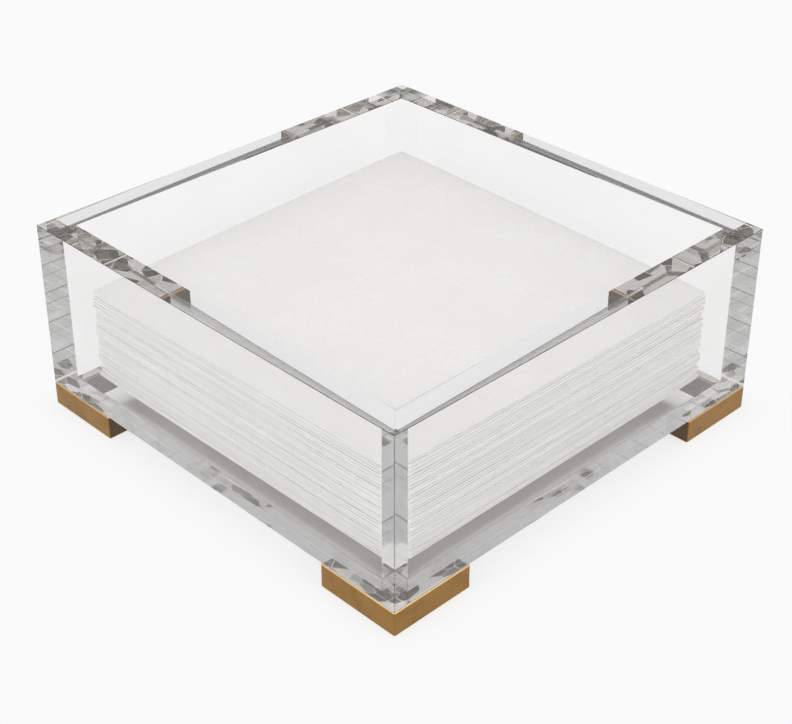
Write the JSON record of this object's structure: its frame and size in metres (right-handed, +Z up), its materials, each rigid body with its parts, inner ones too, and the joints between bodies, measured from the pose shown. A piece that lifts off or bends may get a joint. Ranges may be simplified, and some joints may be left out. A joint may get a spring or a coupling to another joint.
{
  "type": "napkin holder",
  "caption": "Square clear acrylic tray on L-shaped satin brass corner feet, holding a pile of folded white luncheon napkins.",
  "frame": {"origin": "middle of the tray at the surface that its pads stand on", "axes": "+Z up; -Y is the front wall and +X the right wall; the tray is square"},
  "size_m": [0.199, 0.199, 0.083],
  "materials": {
    "clear_acrylic": "polished",
    "satin_brass": "satin",
    "adhesive": "gloss",
    "pad_rubber": "matte",
    "napkin_paper": "matte"
  },
  "bodies": {
    "tray": {"base_panel": "clear_acrylic", "wall_front": "clear_acrylic", "wall_back": "clear_acrylic", "wall_left": "clear_acrylic", "wall_right": "clear_acrylic", "foot_front_left": "satin_brass", "foot_front_right": "satin_brass", "foot_back_left": "satin_brass", "foot_back_right": "satin_brass", "adhesive_film_front_left": "adhesive", "adhesive_film_front_right": "adhesive", "adhesive_film_back_left": "adhesive", "adhesive_film_back_right": "adhesive", "foot_pad_front_left": "pad_rubber", "foot_pad_front_right": "pad_rubber", "foot_pad_back_left": "pad_rubber", "foot_pad_back_right": "pad_rubber"},
    "napkin_pile": {"napkin_01": "napkin_paper", "napkin_02": "napkin_paper", "napkin_03": "napkin_paper", "napkin_04": "napkin_paper", "napkin_05": "napkin_paper", "napkin_06": "napkin_paper", "napkin_07": "napkin_paper", "napkin_08": "napkin_paper", "napkin_09": "napkin_paper", "napkin_10": "napkin_paper", "napkin_11": "napkin_paper", "napkin_12": "napkin_paper", "napkin_13": "napkin_paper", "napkin_14": "napkin_paper", "napkin_15": "napkin_paper", "napkin_16": "napkin_paper", "napkin_17": "napkin_paper", "napkin_18": "napkin_paper", "napkin_19": "napkin_paper"},
    "top_napkin": {"napkin_20": "napkin_paper"}
  },
  "joints": [
    {"name": "pile_lift", "type": "slide", "parent": "tray", "child": "napkin_pile", "axis": [0, 0, 1], "range_m": [0, 0.07]},
    {"name": "top_napkin_lift", "type": "slide", "parent": "napkin_pile", "child": "top_napkin", "axis": [0, 0, 1], "range_m": [0, 0.04]}
  ]
}
